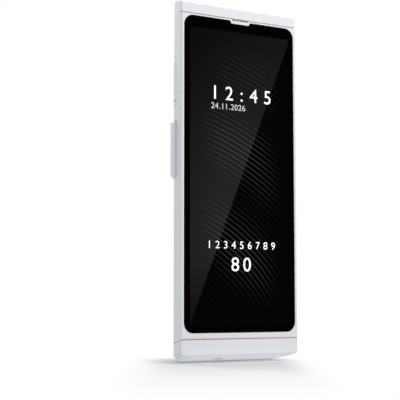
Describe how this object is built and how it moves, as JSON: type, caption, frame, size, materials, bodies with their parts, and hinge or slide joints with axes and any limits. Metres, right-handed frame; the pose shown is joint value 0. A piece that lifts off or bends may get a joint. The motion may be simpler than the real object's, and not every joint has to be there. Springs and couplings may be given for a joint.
{
  "type": "handheld translator",
  "caption": "Slim white handheld translator with a tall black screen, slanted ends, side keys, a SIM tray, a raised camera and a strap slot below a copper-coloured band.",
  "frame": {"origin": "centre of the body, leaving out the camera island and the keys: mid width, mid thickness, mid height", "axes": "+Z along the body to the earpiece end, +Y to the back with the camera, -Y to the screen, +X to the right as seen from the screen side"},
  "size_m": [0.0554, 0.0134, 0.1436],
  "materials": {
    "shell_plastic": "fine satin moulding, faint vertical brushing on the back",
    "front_plastic": "satin moulding",
    "key_plastic": "satin moulding",
    "copper_band": "satin anodised, copper coloured",
    "cover_glass": "polished, black behind the glass",
    "display": "dark panel",
    "camera_glass": "polished black",
    "lens_glass": "coated lens",
    "flash_diffuser": "milky",
    "led": "phosphor yellow",
    "black_plastic": "moulded",
    "mesh": "fine woven mesh",
    "plate_metal": "die cast, bead blasted",
    "steel": "plated",
    "circuit_board": "solder mask",
    "flex_film": "polyimide film",
    "battery_foil": "laminated pouch",
    "tape": "foam tape",
    "soft_rubber": "moulded",
    "sim_plastic": "card with gold contacts"
  },
  "bodies": {
    "housing": {"rear_housing": "shell_plastic", "front_frame": "front_plastic", "accent_band": "copper_band", "end_cap": "shell_plastic", "cover_glass": "cover_glass", "display_panel": "display", "display_adhesive": "display", "display_flex": "flex_film", "earpiece_mesh": "mesh", "earpiece_receiver": "steel", "mid_plate": "plate_metal", "plate_screws": "steel", "main_board": "circuit_board", "board_screws": "steel", "board_connectors": "black_plastic", "processor_shield": "steel", "radio_shield": "steel", "thermal_pad": "tape", "battery_cell": "battery_foil", "battery_tape": "tape", "battery_flex": "flex_film", "camera_window": "camera_glass", "camera_module": "black_plastic", "camera_lens": "lens_glass", "camera_flex": "flex_film", "flash_window": "flash_diffuser", "flash_led": "led", "loudspeaker": "black_plastic", "speaker_mesh": "mesh", "microphones": "steel", "microphone_boots": "soft_rubber", "vibration_motor": "steel", "motor_tape": "tape", "usb_port_shell": "steel", "usb_port_tongue": "black_plastic", "sim_reader": "steel", "right_key_bracket": "plate_metal", "left_key_bracket": "plate_metal", "right_key_flex": "flex_film", "left_key_flex": "flex_film", "key_switches": "steel", "upper_antenna": "flex_film", "lower_antenna": "flex_film", "cap_screws": "steel"},
    "power_key": {"power_key": "key_plastic"},
    "translate_key_upper": {"translate_key_upper": "key_plastic"},
    "translate_key_lower": {"translate_key_lower": "key_plastic"},
    "volume_rocker": {"volume_rocker": "key_plastic"},
    "sim_tray": {"sim_tray": "key_plastic", "sim_card": "sim_plastic"}
  },
  "joints": [
    {"name": "power_key_press", "type": "slide", "parent": "housing", "child": "power_key", "axis": [-1, 0, 0], "range_m": [0, 0.0003], "stiffness_N_per_m": 1500},
    {"name": "translate_key_upper_press", "type": "slide", "parent": "housing", "child": "translate_key_upper", "axis": [-1, 0, 0], "range_m": [0, 0.0003], "stiffness_N_per_m": 1500},
    {"name": "translate_key_lower_press", "type": "slide", "parent": "housing", "child": "translate_key_lower", "axis": [-1, 0, 0], "range_m": [0, 0.0003], "stiffness_N_per_m": 1500},
    {"name": "volume_rocker_tilt", "type": "hinge", "parent": "housing", "child": "volume_rocker", "pos_m": [-0.02365, -0.00055, 0.01105], "axis": [0, 1, 0], "range_deg": [-1.2, 1.2], "stiffness_Nm_per_rad": 0.17},
    {"name": "sim_tray_slide", "type": "slide", "parent": "housing", "child": "sim_tray", "axis": [-1, 0, 0], "range_m": [0, 0.0165]}
  ]
}
